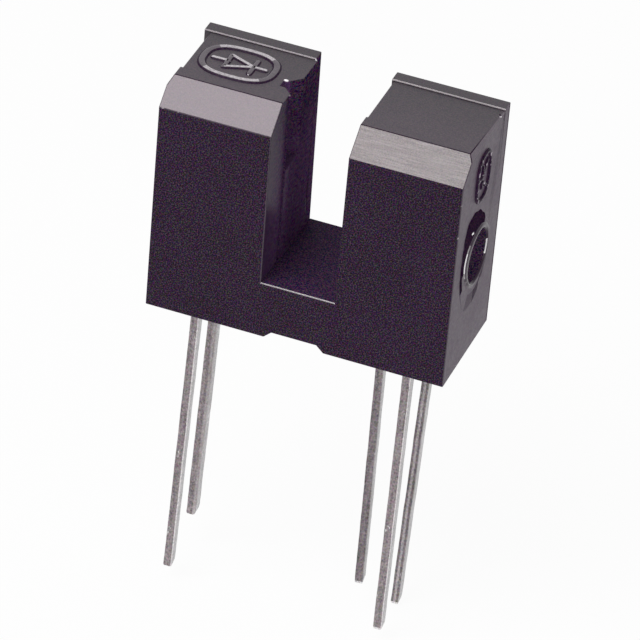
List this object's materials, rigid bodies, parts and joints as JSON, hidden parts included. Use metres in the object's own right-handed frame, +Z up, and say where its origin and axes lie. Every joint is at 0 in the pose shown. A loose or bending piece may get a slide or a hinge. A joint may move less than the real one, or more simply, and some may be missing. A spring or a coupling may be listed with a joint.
{
  "type": "slotted_optical_switch",
  "caption": "U-shaped through-beam optical switch for a circuit board: black moulded housing with a slot between emitter and detector arms, on long tinned leads.",
  "frame": {"origin": "Centre of the housing's width and depth, in the plane of the feet's undersides, which is the circuit board's surface.", "axes": "+X from the emitter arm to the detector arm, +Y from the chamfered front to the back lip, +Z up from the board, away from the leads. Metres."},
  "size_m": [0.0124, 0.005, 0.0236],
  "materials": {
    "housing_plastic": "satin moulded black thermoplastic",
    "filter_resin": "glossy dark infrared-passing resin",
    "tinned_lead": "dull tin plating with fine streaks along the lead",
    "chip": "polished semiconductor",
    "bond_gold": "drawn gold wire"
  },
  "bodies": {
    "root": {"housing": "housing_plastic", "emitter_resin": "filter_resin", "emitter_cathode_lead": "tinned_lead", "emitter_anode_lead": "tinned_lead", "emitter_die": "chip", "emitter_bond_wire": "bond_gold", "detector_resin": "filter_resin", "detector_ground_lead": "tinned_lead", "detector_supply_lead": "tinned_lead", "detector_output_lead": "tinned_lead", "detector_die": "chip", "detector_supply_wire": "bond_gold", "detector_output_wire": "bond_gold", "detector_ground_wire": "bond_gold"}
  },
  "joints": []
}
